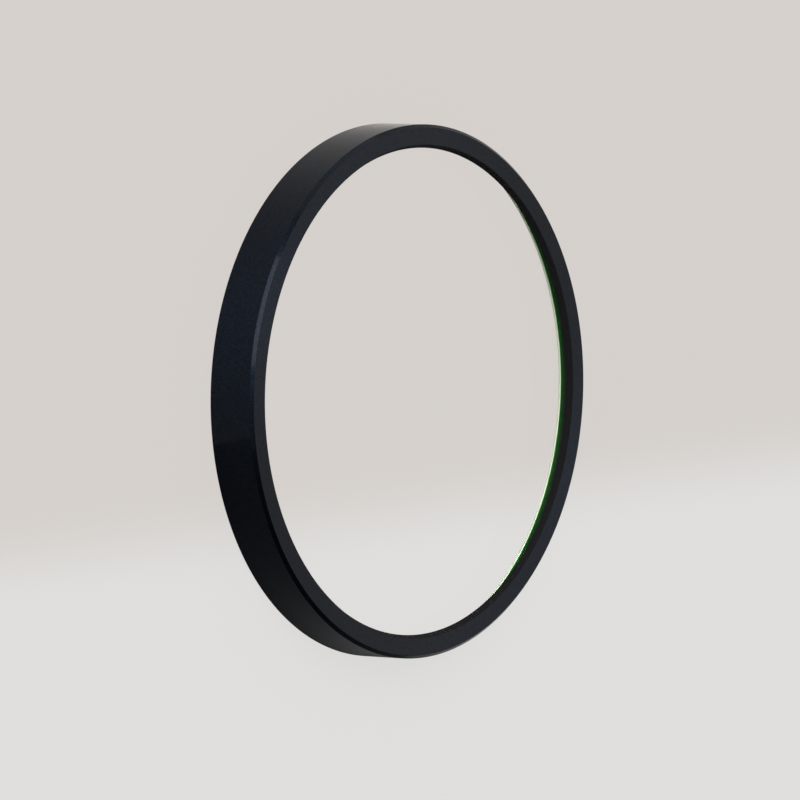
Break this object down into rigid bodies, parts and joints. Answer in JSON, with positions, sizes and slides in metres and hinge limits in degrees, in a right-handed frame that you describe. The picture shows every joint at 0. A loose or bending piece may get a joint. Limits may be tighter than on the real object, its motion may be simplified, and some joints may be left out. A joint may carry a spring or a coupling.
{
  "type": "ring-mounted optical filter",
  "caption": "Round UV and IR cut filter: a coated glass disc held in a plain black anodised ring, between a front lip and a split spring ring at the rear.",
  "frame": {"origin": "centre of the rear face, on the optical axis", "axes": "+Z along the optical axis, from the rear face towards the front lip; the gap of the retaining ring faces -X"},
  "size_m": [0.05, 0.05, 0.005],
  "materials": {
    "black_anodised": "bead-blasted and black anodised, matte",
    "coated_glass": "polished, clear, with a hard thin-film coating",
    "spring_steel": "bright-drawn spring wire"
  },
  "bodies": {
    "root": {"filter_frame": "black_anodised", "filter_glass": "coated_glass", "retaining_ring": "spring_steel"}
  },
  "joints": []
}
